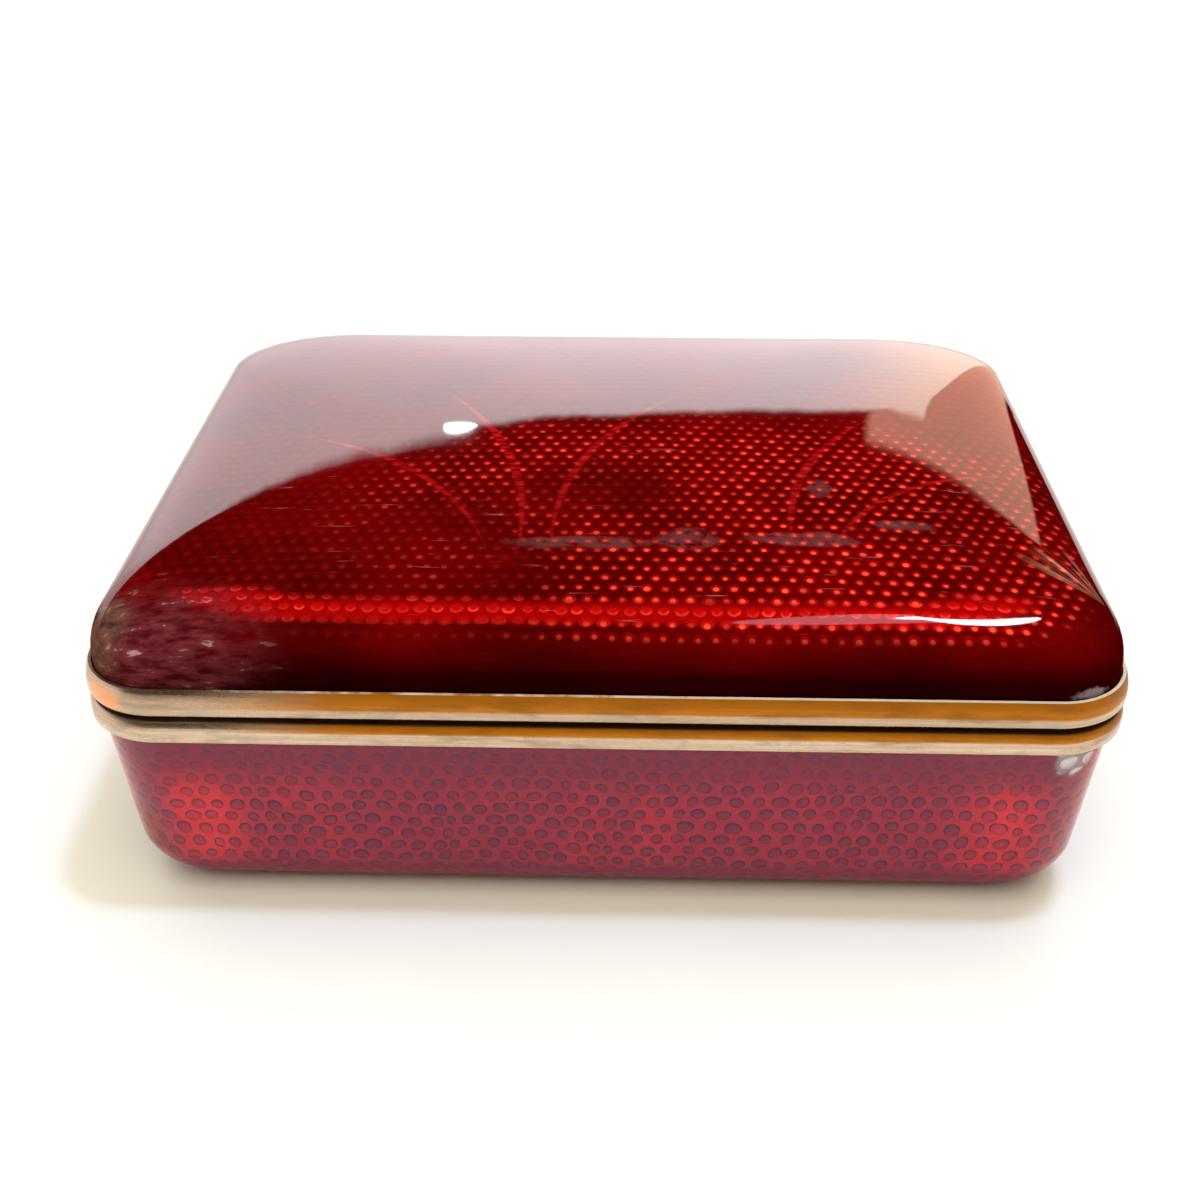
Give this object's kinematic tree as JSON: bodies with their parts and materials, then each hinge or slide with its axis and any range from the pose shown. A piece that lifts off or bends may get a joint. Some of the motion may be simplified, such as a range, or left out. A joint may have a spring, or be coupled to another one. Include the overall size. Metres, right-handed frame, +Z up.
{
  "type": "hinged enamel box",
  "caption": "Rounded rectangular trinket box of red enamel over dotted foil, with a domed hinged lid, brass rims and a lined inside, for keeping small things on a table.",
  "frame": {"origin": "middle of the flat underside, on the table", "axes": "+X to the box's right seen from the front, +Y to the hinge at the back, +Z up through the lid"},
  "size_m": [0.114, 0.0903, 0.0397],
  "materials": {
    "red_enamel_base": "see-through red glass enamel over dotted foil, glossy, a little worn",
    "red_enamel_lid": "deep see-through red glass enamel over dotted foil, polished, a little worn",
    "foil": "thin silver-coloured foil pressed with small dots",
    "copper": "pressed copper sheet, covered on both sides",
    "lining": "speckled dark blue counter enamel, glossy",
    "rim_brass": "drawn brass channel, worn and tarnished",
    "hinge_brass": "drawn brass tube, tarnished",
    "pin_steel": "plain drawn wire"
  },
  "bodies": {
    "base": {"base_enamel": "red_enamel_base", "base_foil": "foil", "base_shell": "copper", "base_lining": "lining", "base_rim": "rim_brass", "base_knuckle_left": "hinge_brass", "base_knuckle_centre": "hinge_brass", "base_knuckle_right": "hinge_brass", "hinge_pin": "pin_steel"},
    "lid": {"lid_enamel": "red_enamel_lid", "lid_foil": "foil", "lid_shell": "copper", "lid_lining": "lining", "lid_rim": "rim_brass", "lid_knuckle_left": "hinge_brass", "lid_knuckle_right": "hinge_brass"}
  },
  "joints": [
    {"name": "lid_hinge", "type": "hinge", "parent": "base", "child": "lid", "pos_m": [0, 0.044, 0.0269], "axis": [-1, 0, 0], "range_deg": [0, 100]}
  ]
}
